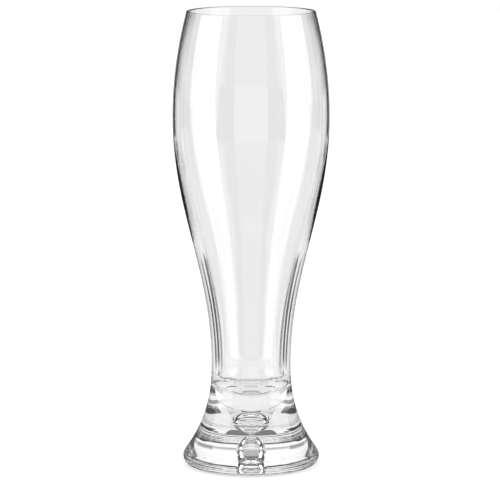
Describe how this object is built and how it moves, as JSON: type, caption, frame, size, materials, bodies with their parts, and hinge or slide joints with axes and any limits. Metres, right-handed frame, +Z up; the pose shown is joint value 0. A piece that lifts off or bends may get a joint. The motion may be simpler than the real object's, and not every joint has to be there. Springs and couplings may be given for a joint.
{
  "type": "pilsner glass",
  "caption": "Tall clear beer glass with a rounded belly, a narrow waist and a heavy flared foot that holds a trapped air bubble.",
  "frame": {"origin": "centre of the underside, on the surface that the glass stands on", "axes": "+Z up along the glass's axis; the glass is round, so X and Y are free"},
  "size_m": [0.0786, 0.0786, 0.23],
  "materials": {
    "clear_glass": "fire-polished, colourless"
  },
  "bodies": {
    "root": {"bowl": "clear_glass", "foot": "clear_glass"}
  },
  "joints": []
}
